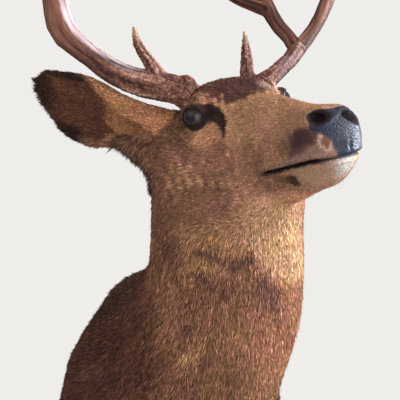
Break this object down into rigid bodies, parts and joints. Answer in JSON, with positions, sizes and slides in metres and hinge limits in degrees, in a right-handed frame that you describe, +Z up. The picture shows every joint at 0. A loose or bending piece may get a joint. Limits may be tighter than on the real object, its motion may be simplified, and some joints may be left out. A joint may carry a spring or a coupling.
{
  "type": "deer shoulder mount",
  "caption": "Wall-hung shoulder mount of a mule deer buck: head turned to its left and tilted, ears laid out and back, forked antlers, furred neck and chest on a flat backboard.",
  "frame": {"origin": "on the back face of the backboard, at the middle of its width and height, in the plane of the wall", "axes": "+Y into the wall, -Y out into the room, +X towards the deer's own left, +Z up"},
  "size_m": [0.4911, 0.6101, 0.9637],
  "materials": {
    "board_wood": "plain sawn board, unvarnished",
    "body_hide": "dense dark brown winter hair",
    "neck_hide": "grizzled grey-brown hair with a cream throat patch",
    "face_hide": "short tan hair with a dark brown forehead",
    "jaw_hide": "short whitish hair",
    "nose_skin": "pebbled, shiny as if wet",
    "ear_hide": "short tan and dark brown hair with a black edge",
    "eye_glass": "polished dark glass",
    "antler_bone": "ridged brown antler, polished and pale at the tips"
  },
  "bodies": {
    "root": {"backboard": "board_wood", "shoulders": "body_hide", "neck": "neck_hide", "head": "face_hide", "lower_jaw": "jaw_hide", "nose_pad": "nose_skin", "eye_right": "eye_glass", "ear_right": "ear_hide", "beam_right": "antler_bone", "brow_tine_right": "antler_bone", "front_fork_right": "antler_bone", "front_tine_right": "antler_bone", "rear_fork_right": "antler_bone", "rear_tine_right": "antler_bone", "eye_left": "eye_glass", "ear_left": "ear_hide", "beam_left": "antler_bone", "brow_tine_left": "antler_bone", "front_fork_left": "antler_bone", "front_tine_left": "antler_bone", "rear_fork_left": "antler_bone", "rear_tine_left": "antler_bone"}
  },
  "joints": []
}
